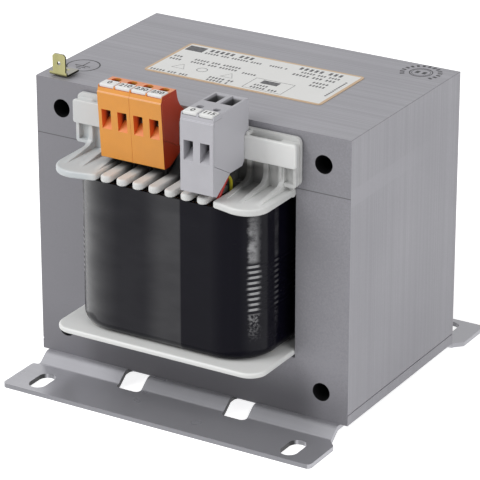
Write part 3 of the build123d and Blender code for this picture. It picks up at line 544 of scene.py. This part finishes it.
def comb_painted_shade(shader, cloud):
    """Mask for the painted shade on the fingers where they run back under the terminals, with a ragged front.
    """
    x, y, z = shader.axes()
    height = shader.height()
    ragged = shader.math("MULTIPLY_ADD", cloud, 4 * MM, y)
    return shader.times(
        shader.span(ragged, -65, -55), shader.span(y, -40, -46),
        shader.span(x, -36, -28), shader.span(x, 30, 45, 1.0, 0.1),
        shader.span(height, 110, 106), shader.span(height, 93, 95),
        0.92,
    )


def bobbin_plastic():
    """Natural moulding, with painted shade, near black, where the fingers run back under the terminals."""
    base = finish_tone("bobbin")
    shader = Shader("bobbin_plastic")
    cloud, grain = shader.mottle(60.0, 1600.0, 0.3)
    tone = bobbin_tone(shader, cloud, base)
    return shader.done(
        # Painted shade, near black, on the comb under the terminals.
        Base_Color=shader.blend(comb_painted_shade(shader, cloud), tone, shade(base, 0.05)),
        Roughness=shader.ramp(cloud, 0.3, 0.7, 0.33, 0.45),
        Subsurface_Weight=0.15,
        Subsurface_Radius=(1.0, 0.95, 0.9),
        Subsurface_Scale=1.0 * MM,
        Normal=shader.bump(grain, 0.02, 0.3),
    )


def moulded_plastic(name, base, roughness, housing=None):
    """Satin moulding with a fine spark-eroded texture, and, where given, a terminal housing's painted light
    and shade.
    """
    shader = Shader(name)
    cloud, grain = shader.mottle(120.0, 3500.0, 0.4)
    tone = shader.blend(shader.ramp(cloud, 0.3, 0.7), shade(base, 0.96), shade(base, 1.04))
    if housing:
        # Painted light and shade of a terminal housing.
        tone = housing_painted_light_and_shade(shader, tone, base, *housing)
    return shader.done(
        Base_Color=tone,
        Roughness=shader.ramp(cloud, 0.3, 0.7, roughness - 0.05, roughness + 0.06),
        Normal=shader.bump(grain, 0.02, 0.5),
    )


def housing_painted_light_and_shade(shader, tone, base, side, roof, funnel, ridge, low, high):
    """Painted light and shade on a housing: own tones on its outer sides, roof and funnels, a painted
    highlight along the ridge, and throats painted near black as shade.
    """
    nx, ny, nz = shader.facing()
    x, y, z = shader.axes()
    half = (high.x - low.x) / 2
    behind = shader.math("SUBTRACT", y, low.y)
    drop = shader.math("SUBTRACT", high.z, z)
    inside = shader.ramp(shader.away(x, (low.x + high.x) / 2), half - 0.5 * MM, half - 0.9 * MM)
    # Own colour for the outer sides, full on those facing right and 40% on those facing left: painted shade
    # on the orange, painted light on the grey.
    outer = shader.blend(shader.ramp(nx, -0.1, 0.1), shader.blend(0.4, base, side), side)
    # Painted shade on the funnels' walls.
    walls = shader.blend(inside, outer, funnel)
    tone = shader.blend(shader.ramp(shader.away(nx), 0.5, 0.8), tone, walls)
    # The level roof in its own tone: painted shade on the grey, pinker on the orange.
    level = shader.times(shader.ramp(nz, 0.7, 0.9), shader.span(drop, 5, 3))
    tone = shader.blend(level, tone, roof)
    # Painted shade on the funnels' floors.
    floors = shader.times(shader.ramp(nz, 0.4, 0.7), shader.span(drop, 4, 6), 0.5)
    tone = shader.blend(floors, tone, funnel)
    # Painted highlight along the ridge.
    ridge_highlight = shader.times(
        shader.span(shader.away(drop, RIDGE_DROP * MM), 0.42, 0.15), shader.ramp(ny, -0.2, -0.5),
        shader.span(behind, 2, 1),
        0.8,
    )
    tone = shader.blend(ridge_highlight, tone, ridge)
    # Painted shade, near black, in the throats of the funnels.
    sunk = shader.times(shader.span(behind, 6, 7), shader.span(drop, 3, 4))
    throat_shade = shader.times(
        inside, shader.span(behind, 2.8, 4.8), shader.span(drop, 0.3, 1.5),
        shader.math("MAXIMUM", shader.ramp(nz, 0.6, 0.4), sunk), shader.ramp(ny, 0.6, 0.4),
        0.95,
    )
    return shader.blend(throat_shade, tone, shade(side, 0.08))


def tape_relief(shader, turns, wrinkle):
    """Height of the tape: turns of wire at the corners, wrinkles, slow swells and the step at its end."""
    x, y, z = shader.axes()
    swell = shader.noise((30.0, 30.0, 8.0), 1.0)
    tail = shader.times(
        shader.span(x, TAPE_END - 0.3, TAPE_END + 0.3),
        shader.ramp(y, WRAP_FRONT + 2 * MM, WRAP_FRONT + 1 * MM),
    )
    height = shader.times(turns, shader.span(shader.away(x), 36, 40), 0.16)
    for part, share in ((wrinkle, 0.25), (swell, 1.6), (tail, -0.12)):
        height = shader.math("MULTIPLY_ADD", part, share, height)
    return height


def corner_highlights(shader, wave, reach):
    """Mask for the painted highlights along each corner, where the tape is creased: a ladder over the turns,
    brushed above it, flecks below.
    """
    x, y, z = shader.axes()
    nx, ny, nz = shader.facing()
    height = shader.height()
    brushed = shader.noise((220.0, 220.0, 330.0), 3.0, 0.65)
    flecks = shader.noise((900.0, 900.0, 1100.0), 2.0, 0.6)
    ladder = shader.times(shader.ramp(wave, -0.2, 0.6), reach, 1.25)
    above = shader.times(
        shader.span(height, TAPE_TURNS_HIGH, TAPE_TURNS_HIGH + 1.5),
        shader.span(height, 97, 80, 0.55, 1.0),
        shader.ramp(brushed, 0.3, 0.75, 0.2, 0.9),
    )
    below = shader.times(
        shader.span(height, TAPE_TURNS_LOW, TAPE_TURNS_LOW - 1),
        shader.span(height, 36, 47, 0.0, 0.6),
        shader.ramp(flecks, 0.42, 0.66),
    )
    marks = shader.math("ADD", shader.math("ADD", ladder, above), below)
    turned = shader.math("ADD", shader.away(nx), shader.math("MULTIPLY_ADD", brushed, 0.12, -0.06))
    # Painted highlight along each front corner, and a fainter one along each side.
    crease_highlight = shader.ramp(shader.away(turned, CREASE_TURN), 0.105, 0.025)
    side_crease_highlight = shader.times(
        shader.span(shader.away(shader.away(y), SIDE_CREASE_Y * MM), 2.2, 0.4),
        shader.ramp(shader.away(nx), 0.85, 0.95),
        0.14,
    )
    upright = shader.ramp(shader.away(nz), 0.3, 0.1)
    return shader.times(shader.math("ADD", crease_highlight, side_crease_highlight), upright, marks)


def tape_polish(shader, wrinkle):
    """Gloss of the tape: bands in front that end with the tape and at the right, and even gloss behind."""
    x, y, z = shader.axes()
    polish = shader.times(shader.span(x, -33, -18, 1.0, 0.27), shader.span(x, -43, -33))
    polish = shader.math("ADD", polish, shader.span(x, -8, 3, 0.0, 0.5))
    polish = shader.times(
        polish,
        shader.span(x, TAPE_END + 0.5, TAPE_END - 0.5, 0.1, 1.0), shader.span(x, 24, 31, 1.0, 0.0),
    )
    polish = shader.math("MULTIPLY_ADD", shader.span(x, 36, 41), 0.16, polish)
    polish = shader.mix(shader.span(y, 0, 20), polish, 0.3)
    return shader.times(polish, shader.ramp(wrinkle, 0.25, 0.75, 0.8, 1.15))


def black_tape():
    """Glossy tape: wire turns and creases show at the corners, with painted highlights along them, and its
    free end is a straight line.
    """
    shader = Shader("black_tape")
    x, y, z = shader.axes()
    height = shader.height()
    wrinkle = shader.noise((45.0, 45.0, 110.0), 4.0, 0.55)
    wave = shader.math("SINE", shader.times(z, 2 * math.pi / (TAPE_TURN_PITCH * MM)))
    reach = shader.times(
        shader.span(height, TAPE_TURNS_LOW - 1, TAPE_TURNS_LOW + 1),
        shader.span(height, TAPE_TURNS_HIGH + 1, TAPE_TURNS_HIGH - 1),
    )
    relief = tape_relief(shader, shader.times(wave, reach), wrinkle)
    matt = shader.span(x, -34, -44, 0.0, 0.35)
    streaks = corner_highlights(shader, wave, reach)
    return shader.done(
        # Painted highlights, pale grey, along the corners.
        Base_Color=shader.blend(streaks, finish_tone("tape"), (0.42, 0.42, 0.43)),
        Roughness=shader.math("ADD", shader.ramp(wrinkle, 0.3, 0.7, 0.14, 0.28), matt),
        Specular_IOR_Level=0.075,
        Coat_Weight=tape_polish(shader, wrinkle),
        Coat_Roughness=0.12,
        Normal=shader.bump(relief, 1.0, 0.8),
    )


def copper_wire():
    """Enamelled turns, one over the other, with painted shade, near black, at the ends of the coil."""
    shader = Shader("copper_wire")
    x, y, z = shader.axes()
    nx, ny, nz = shader.facing()
    wave = shader.away(shader.math("SINE", shader.times(z, math.pi / (WIRE_PITCH * MM))))
    wire = shader.blend(wave, (0.20, 0.07, 0.03), (0.62, 0.27, 0.12))
    coil_ends = shader.ramp(shader.away(nz), 0.2, 0.5)
    return shader.done(
        # Painted shade, near black, on the ends of the coil.
        Base_Color=shader.blend(coil_ends, wire, (0.008, 0.006, 0.005)),
        Roughness=shader.ramp(coil_ends, 0.0, 1.0, 0.3, 0.55),
        Metallic=0.6,
        Normal=shader.bump(wave, 0.3),
    )


def insulation_film():
    """Amber film with a slightly crinkled face, with painted shade, near black, on its edges."""
    shader = Shader("insulation_film")
    nx, ny, nz = shader.facing()
    cloud = shader.noise((120.0, 120.0, 40.0), 3.0)
    film = shader.blend(cloud, (0.62, 0.45, 0.20), (0.78, 0.62, 0.34))
    return shader.done(
        # Painted shade, near black, on the film's edges.
        Base_Color=shader.blend(shader.ramp(shader.away(nz), 0.2, 0.5), film, (0.02, 0.015, 0.01)),
        Roughness=0.25,
        Normal=shader.bump(cloud, 0.08),
    )


def bare_metal(name, dark, light, roughness, scale):
    """Plain bright metal with fine drawing lines."""
    shader = Shader(name)
    lines = shader.noise(scale, 3.0)
    return shader.done(
        Base_Color=shader.blend(shader.ramp(lines, 0.3, 0.7), dark, light),
        Roughness=shader.ramp(lines, 0.3, 0.7, roughness - 0.07, roughness + 0.1),
        Metallic=0.95,
        Normal=shader.bump(lines, 0.02, 0.5),
    )


def tab_brass():
    """Brass-plated tab: olive blade, a painted reflection that makes the base's top greyer, dark punched
    edges.
    """
    shader = Shader("tab_brass")
    nx, ny, nz = shader.facing()
    lines = shader.noise((300.0, 300.0, 30.0), 3.0)
    plate = shader.blend(shader.ramp(lines, 0.3, 0.7), (0.31, 0.295, 0.14), (0.40, 0.38, 0.19))
    # Painted reflection: the base's level top greyer.
    plate = shader.blend(shader.ramp(nz, 0.7, 0.9), plate, (0.36, 0.35, 0.31))
    return shader.done(
        Base_Color=shader.blend(shader.ramp(shader.away(nx), 0.5, 0.8), plate, (0.02, 0.02, 0.012)),
        Roughness=shader.ramp(lines, 0.3, 0.7, 0.35, 0.52),
        Metallic=0.9,
        Normal=shader.bump(lines, 0.02, 0.5),
    )


def lead_sleeve(name, base, second=None):
    """Extruded insulation, with a second colour along one side where the lead has one."""
    shader = Shader(name)
    cloud = shader.noise((500.0, 500.0, 120.0), 2.0)
    tone = shader.blend(cloud, shade(base, 0.9), shade(base, 1.1))
    if second:
        x, y, z = shader.axes()
        middle = (EARTH_LEAD_LOW.x + EARTH_LEAD_HIGH.x) / 2
        tone = shader.blend(shader.ramp(x, middle - 0.3 * MM, middle + 0.1 * MM), tone, second)
    return shader.done(Base_Color=tone, Roughness=0.3, Normal=shader.bump(cloud, 0.02, 0.4))


def label_film():
    """White film with a tan border."""
    border = print_size("border")
    shader = Shader("label_film")
    x, y, z = shader.axes()
    half = (LABEL_HIGH - LABEL_LOW) / 2
    across = shader.math("SUBTRACT", half.x, shader.away(x, LABEL_CENTRE.x))
    along = shader.math("SUBTRACT", half.y, shader.away(y, LABEL_CENTRE.y))
    inset = shader.math("MINIMUM", across, along)
    cloud, grain = shader.mottle(90.0, 1500.0, 0.3)
    film = shader.blend(cloud, (0.76, 0.76, 0.745), (0.82, 0.82, 0.805))
    within = shader.ramp(inset, border - 0.1 * MM, border + 0.1 * MM)
    return shader.done(
        Base_Color=shader.blend(within, finish_tone("label_border"), film),
        Roughness=0.42,
        Normal=shader.bump(grain, 0.01, 0.3),
    )


def printed_ink(name, color, wear):
    """Matt ink, thinner in places."""
    shader = Shader(name)
    worn = shader.ramp(shader.noise(700.0, 3.0), 0.35, 0.75, 0.0, wear)
    return shader.done(Base_Color=shader.blend(worn, color, (0.5, 0.5, 0.51)), Roughness=0.6)


def floor_paper():
    """Pale sheet that the camera and reflections see as white, with the object's shadow kept."""
    shader = Shader("floor_paper")
    grain = shader.noise(300.0, 2.0)
    return shader.done(
        Base_Color=shader.blend(grain, (0.81, 0.81, 0.81), (0.83, 0.83, 0.83)),
        Roughness=0.9,
        Specular_IOR_Level=0.0,
        Emission_Color=WHITE,
        Emission_Strength=shader.times(shader.seen(), 0.75),
    )


class Print:
    """Flat print on a level face. Its methods take millimetres from the print's middle."""

    def __init__(self, middle_x, middle_y, level):
        self.x, self.y, self.level = middle_x, middle_y, level
        self.thickness = 2 * print_size("ink_height")
        self.parts = []

    def slab(self, x, y, width, length, turn=0.0):
        """Flat block at a place in metres, half sunk into the face."""
        bpy.ops.mesh.primitive_cube_add(
            size=1, location=(x, y, self.level), rotation=(0, 0, turn), scale=(width, length, self.thickness),
        )
        self.parts.append(bpy.context.object)
        return bpy.context.object

    def block(self, x, y, width, length, turn=0.0):
        self.slab(self.x + x * MM, self.y + y * MM, width * MM, length * MM, turn)

    def words(self, start, end, middle, height):
        """Row of letter-like strokes between two X places, in words of a few strokes each."""
        pitch = height * MM * print_size("letter_pitch")
        x, end = self.x + start * MM, self.x + end * MM
        word = 0
        while x + pitch < end:
            letters = min(WORD_LETTERS[word % len(WORD_LETTERS)], int((end - x) / pitch))
            stroke = self.slab(
                x + STROKE_MIDDLE * pitch, self.y + middle * MM, STROKE_WIDTH * pitch, height * MM,
            )
            copies = stroke.modifiers.new("letters", "ARRAY")
            copies.count = max(1, letters)
            copies.use_relative_offset = False
            copies.use_constant_offset = True
            copies.constant_offset_displace = (pitch, 0, 0)
            apply_modifiers(stroke)
            x += (letters + WORD_GAP) * pitch
            word += 1

    def ring(self, x, y, radius, line, sides=64):
        bpy.ops.mesh.primitive_cylinder_add(
            vertices=sides, radius=radius * MM, depth=self.thickness, end_fill_type="NOTHING",
            location=(self.x + x * MM, self.y + y * MM, self.level),
        )
        band = bpy.context.object
        wall = band.modifiers.new("line", "SOLIDIFY")
        wall.thickness = line * MM
        wall.offset = -1.0
        apply_modifiers(band)
        self.parts.append(band)

    def outline(self, left, right, low, high, line):
        """Rectangle drawn with a thin line."""
        for y in (low, high):
            self.block((left + right) / 2, y, right - left, line)
        for x in (left, right):
            self.block(x, (low + high) / 2, line, high - low)

    def finish(self, name, ink, slot_name):
        """Joins what was printed to one piece."""
        add_piece(joined(self.parts, name), ink, slot_name)


class TRANSFORMER_OT_finish_core(Operator):
    """Gives the sheets, welds, feet and spade tab their metal finishes."""

    bl_idname = "transformer.finish_core"
    bl_label = "Finish Core and Feet"

    def execute(self, context):
        dress_node(core_steel(), "e_core", "i_core", "joint_welds")
        dress_node(weld_steel(), "foot_welds")
        dress_node(foot_steel(), "front_foot", "rear_foot")
        dress_node(tab_brass(), "earth_tab")
        return {"FINISHED"}


class TRANSFORMER_OT_finish_coil(Operator):
    """Gives the bobbin, windings, insulation, tape and leads their finishes."""

    bl_idname = "transformer.finish_coil"
    bl_label = "Finish Coil"

    def execute(self, context):
        dress_node(bobbin_plastic(), "bobbin")
        dress_node(copper_wire(), "primary_winding", "secondary_winding")
        dress_node(insulation_film(), "interlayer_insulation")
        dress_node(black_tape(), "outer_wrap")
        dress_node(lead_sleeve("black_lead", (0.02, 0.02, 0.02)), "primary_leads", "neutral_lead")
        dress_node(lead_sleeve("red_lead", (0.50, 0.015, 0.012)), "red_lead")
        dress_node(lead_sleeve("green_lead", (0.05, 0.22, 0.03), (0.62, 0.55, 0.04)), "earth_lead")
        return {"FINISHED"}


class TRANSFORMER_OT_finish_terminals(Operator):
    """Gives the terminals' housings, covers, bars and springs their finishes."""

    bl_idname = "transformer.finish_terminals"
    bl_label = "Finish Terminals"

    def execute(self, context):
        side, roof, funnel = (finish_tone(f"orange_{part}") for part in ("side", "roof", "funnel"))
        # The ridge colour is a painted highlight.
        housing = (side, roof, funnel, (1.0, 0.62, 0.32), ORANGE_LOW, ORANGE_HIGH)
        orange = moulded_plastic("orange_plastic", finish_tone("orange"), 0.42, housing)
        dress_node(orange, "orange_terminal_left", "orange_terminal_right", "orange_end_cover")
        grey = finish_tone("grey")
        # Lit and shaded copies of the grey: painted light on the sides and ridge, painted shade on the roof
        # and funnels.
        side, roof, funnel, ridge = (shade(grey, factor) for factor in (1.06, 0.84, 0.8, 1.35))
        housing = (side, roof, funnel, ridge, GREY_LOW, GREY_HIGH)
        dress_node(moulded_plastic("grey_plastic", grey, 0.45, housing), "grey_terminal", "grey_end_cover")
        bar = bare_metal("copper_bar", (0.50, 0.30, 0.18), (0.66, 0.42, 0.28), 0.3, (200.0, 200.0, 900.0))
        spring = bare_metal(
            "spring_steel", (0.42, 0.43, 0.45), (0.56, 0.57, 0.6), 0.28, (900.0, 200.0, 200.0),
        )
        for number in range(1, len(TAG_FIGURES) + 1):
            dress_node(bar, f"contact_bar_{number}")
            dress_node(spring, f"clamp_spring_{number}")
        return {"FINISHED"}


class TRANSFORMER_OT_make_tags(Operator):
    """Builds the marker tags with rounded edges and a figure on each."""

    bl_idname = "transformer.make_tags"
    bl_label = "Make Marker Tags"

    def execute(self, context):
        white = moulded_plastic("tag_plastic", (0.82, 0.82, 0.81), 0.4)
        ink = printed_ink("tag_ink", (0.02, 0.02, 0.022), 0.05)
        for number, text in enumerate(TAG_FIGURES, 1):
            low, high = (Vector(corner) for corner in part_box(f"marker_tag_{number}"))
            high.z -= 2 * print_size("ink_height")
            tag = self.tag(low, high)
            tag.name = f"tag_{number}"
            add_piece(tag, white, "tag_plastic", f"marker_tag_{number}")
            figure = self.figure(text, (low.x + high.x) / 2, (low.y + high.y) / 2, high.z)
            figure.name = f"tag_figure_{number}"
            add_piece(figure, ink, "tag_plastic")
        return {"FINISHED"}

    def tag(self, low, high):
        bpy.ops.mesh.primitive_cube_add(size=1, location=(low + high) / 2, scale=high - low)
        tag = bpy.context.object
        settle(tag)
        edges = tag.modifiers.new("rounded edges", "BEVEL")
        edges.width = TAG_EDGE * MM
        edges.segments = 3
        apply_modifiers(tag)
        bpy.ops.object.shade_smooth_by_angle(angle=math.radians(40))
        return tag

    def figure(self, text, x, y, level):
        """Bold figure on a level face, half sunk into it."""
        bpy.ops.object.text_add(location=(x, y, level))
        letters = bpy.context.object.data
        letters.body = text
        letters.size = print_size("tag_text") * FIGURE_SCALE
        letters.align_x = "CENTER"
        letters.align_y = "CENTER"
        letters.extrude = print_size("ink_height") * 0.8
        letters.offset = FIGURE_BOLDNESS * MM
        pick(bpy.context.object)
        bpy.ops.object.convert(target="MESH")
        settle(bpy.context.object)
        return bpy.context.object


class TRANSFORMER_OT_print_label(Operator):
    """Prints rows of generic strokes, plain shapes and two plain blocks on the rating label."""

    bl_idname = "transformer.print_label"
    bl_label = "Print Rating Label"

    # Start, end, middle and height of each row, in millimetres from the label's middle.
    rows = (
        (-30.0, -6.6, 14.8, 2.9), (-30.6, -2.5, 11.2, 1.6), (1.0, 10.8, 11.4, 1.5),
        (-40.3, -34.6, 2.1, 1.7), (-40.4, -34.2, -1.4, 1.7), (-30.0, -7.0, 1.9, 1.7),
        (-30.0, -6.6, -1.3, 1.7), (-4.4, 3.4, -2.2, 1.6), (13.6, 37.0, 15.0, 2.8),
        (16.5, 36.0, 11.0, 1.6), (14.4, 35.8, 7.4, 1.9), (26.7, 36.6, 2.6, 1.8),
        (27.0, 36.8, -0.9, 1.8), (-40.5, -21.6, -16.5, 1.7), (-13.7, -0.5, -13.5, 1.8),
        (-13.2, -1.9, -16.4, 1.8), (7.0, 14.0, -11.8, 1.6), (6.8, 21.2, -14.7, 1.7),
    )

    def execute(self, context):
        ink = printed_ink("label_ink", (0.07, 0.07, 0.075), 0.2)
        label = Print(LABEL_CENTRE.x, LABEL_CENTRE.y, LABEL_HIGH.z)
        for row in self.rows:
            label.words(*row)
        label.block(-36.4, 13.6, 8.4, 5.8)
        label.block(12.2, -7.3, 8.0, 3.8)
        label.outline(4.0, 22.4, -16.6, -4.4, 0.2)
        label.ring(-20.6, -7.7, 2.4, 0.3, 32)
        label.ring(-30.8, -8.9, 3.6, 0.3, 3)
        label.ring(-7.4, -8.6, 3.4, 0.3, 3)
        for step in range(12):
            label.block(39.0, 1.6 * step - 8.6, 0.9, 1.0)
        dress_node(label_film(), "rating_label")
        label.finish("label_print", ink, "label_film")
        return {"FINISHED"}


class TRANSFORMER_OT_mark_core(Operator):
    """Marks the earth sign beside the spade tab and a plain round stamp on the core's top."""

    bl_idname = "transformer.mark_core"
    bl_label = "Mark Core"

    def execute(self, context):
        ink = printed_ink("core_ink", (0.02, 0.02, 0.024), 0.12)
        sign = Print(*(place * MM for place in EARTH_SIGN_PLACE), TOP_Z)
        sign.ring(0, 0, 7.3, 0.6)
        sign.block(0, 2.2, 0.5, 5.6)
        for step, width in enumerate((7.4, 4.8, 2.2)):
            sign.block(0, -0.6 - 1.6 * step, width, 0.6)
        sign.finish("earth_sign", ink, "core_steel")
        stamp = Print(*(place * MM for place in STAMP_PLACE), TOP_Z)
        stamp.ring(0, 0, 5.1, 0.5)
        stamp.ring(0, 0, 4.1, 0.25)
        strokes = 15
        for step in range(strokes):
            angle = math.radians(-35 + 250 * step / (strokes - 1))
            stamp.block(8.0 * math.cos(angle), 8.0 * math.sin(angle), 2.0, 1.2, angle)
        for shift in (-1.6, 1.6):
            stamp.block(shift, 0, 1.7, 2.6)
        stamp.finish("round_stamp", ink, "core_steel")
        return {"FINISHED"}


class TRANSFORMER_OT_set_stage(Operator):
    """Sets the floor, the lamps, the even light and the camera."""

    bl_idname = "transformer.set_stage"
    bl_label = "Set Stage"

    def execute(self, context):
        settings = context.scene.transformer_stage
        deselect()
        bpy.ops.mesh.primitive_plane_add(size=FLOOR_SIZE, location=(0, 0, 0))
        floor = bpy.context.object
        floor.name = "floor"
        dress(floor, floor_paper())
        self.lamp("key_lamp", azimuth=-38, elevation=42, size=1.0, power=settings.key_power)
        self.lamp("side_lamp", azimuth=75, elevation=30, size=1.2, power=settings.fill_power)
        world = bpy.data.worlds.new("studio")
        world.use_nodes = True
        sky = Nodes(world, world.node_tree, world.node_tree.nodes["Background"])
        context.scene.world = sky.done(Color=WHITE, Strength=sky.mix(sky.seen(), settings.sky, 1.0))
        bpy.ops.object.camera_add(
            location=(settings.camera_x, settings.camera_y, settings.camera_z),
            rotation=(math.pi / 2 - settings.elevation, 0, settings.azimuth),
        )
        camera = bpy.context.object
        camera.name = "photo_camera"
        camera.data.lens = settings.lens
        camera.data.sensor_width = 36.0
        camera.data.clip_end = 50.0
        context.scene.camera = camera
        context.scene.view_settings.view_transform = "Standard"
        return {"FINISHED"}

    def lamp(self, name, azimuth, elevation, size, power):
        """Square lamp that faces the object's middle from a direction, in degrees."""
        turn, tilt = math.radians(azimuth), math.radians(elevation)
        out = Vector((math.sin(turn) * math.cos(tilt), -math.cos(turn) * math.cos(tilt), math.sin(tilt)))
        bpy.ops.object.light_add(
            type="AREA", location=LAMP_TARGET + out * LAMP_DISTANCE, rotation=(math.pi / 2 - tilt, 0, turn),
        )
        lamp = bpy.context.object
        lamp.name = name
        lamp.data.shape = "SQUARE"
        lamp.data.size = size
        lamp.data.energy = power


class TRANSFORMER_PT_panel(Panel):
    """Lists the settings and the steps in the sidebar."""

    bl_idname = "TRANSFORMER_PT_panel"
    bl_label = "Chassis Transformer"
    bl_space_type = "VIEW_3D"
    bl_region_type = "UI"
    bl_category = "Transformer"

    def draw(self, context):
        scene = context.scene
        for settings in (scene.transformer_finish, scene.transformer_print, scene.transformer_stage):
            box = self.layout.box()
            for key in settings.__annotations__:
                box.prop(settings, key)
        for step in STEPS:
            self.layout.operator(step.bl_idname)


STEPS = (
    TRANSFORMER_OT_finish_core,
    TRANSFORMER_OT_finish_coil,
    TRANSFORMER_OT_finish_terminals,
    TRANSFORMER_OT_make_tags,
    TRANSFORMER_OT_print_label,
    TRANSFORMER_OT_mark_core,
    TRANSFORMER_OT_set_stage,
)
CLASSES = (FinishSettings, PrintSettings, StageSettings, *STEPS, TRANSFORMER_PT_panel)


def register():
    for cls in CLASSES:
        bpy.utils.register_class(cls)
    bpy.types.Scene.transformer_finish = PointerProperty(type=FinishSettings)
    bpy.types.Scene.transformer_print = PointerProperty(type=PrintSettings)
    bpy.types.Scene.transformer_stage = PointerProperty(type=StageSettings)


def unregister():
    del bpy.types.Scene.transformer_stage
    del bpy.types.Scene.transformer_print
    del bpy.types.Scene.transformer_finish
    for cls in reversed(CLASSES):
        bpy.utils.unregister_class(cls)


def main():
    register()
    deselect()
    bpy.ops.transformer.finish_core()
    bpy.ops.transformer.finish_coil()
    bpy.ops.transformer.finish_terminals()
    bpy.ops.transformer.make_tags()
    bpy.ops.transformer.print_label()
    bpy.ops.transformer.mark_core()
    bpy.ops.transformer.set_stage()


if __name__ == "__main__":
    main()
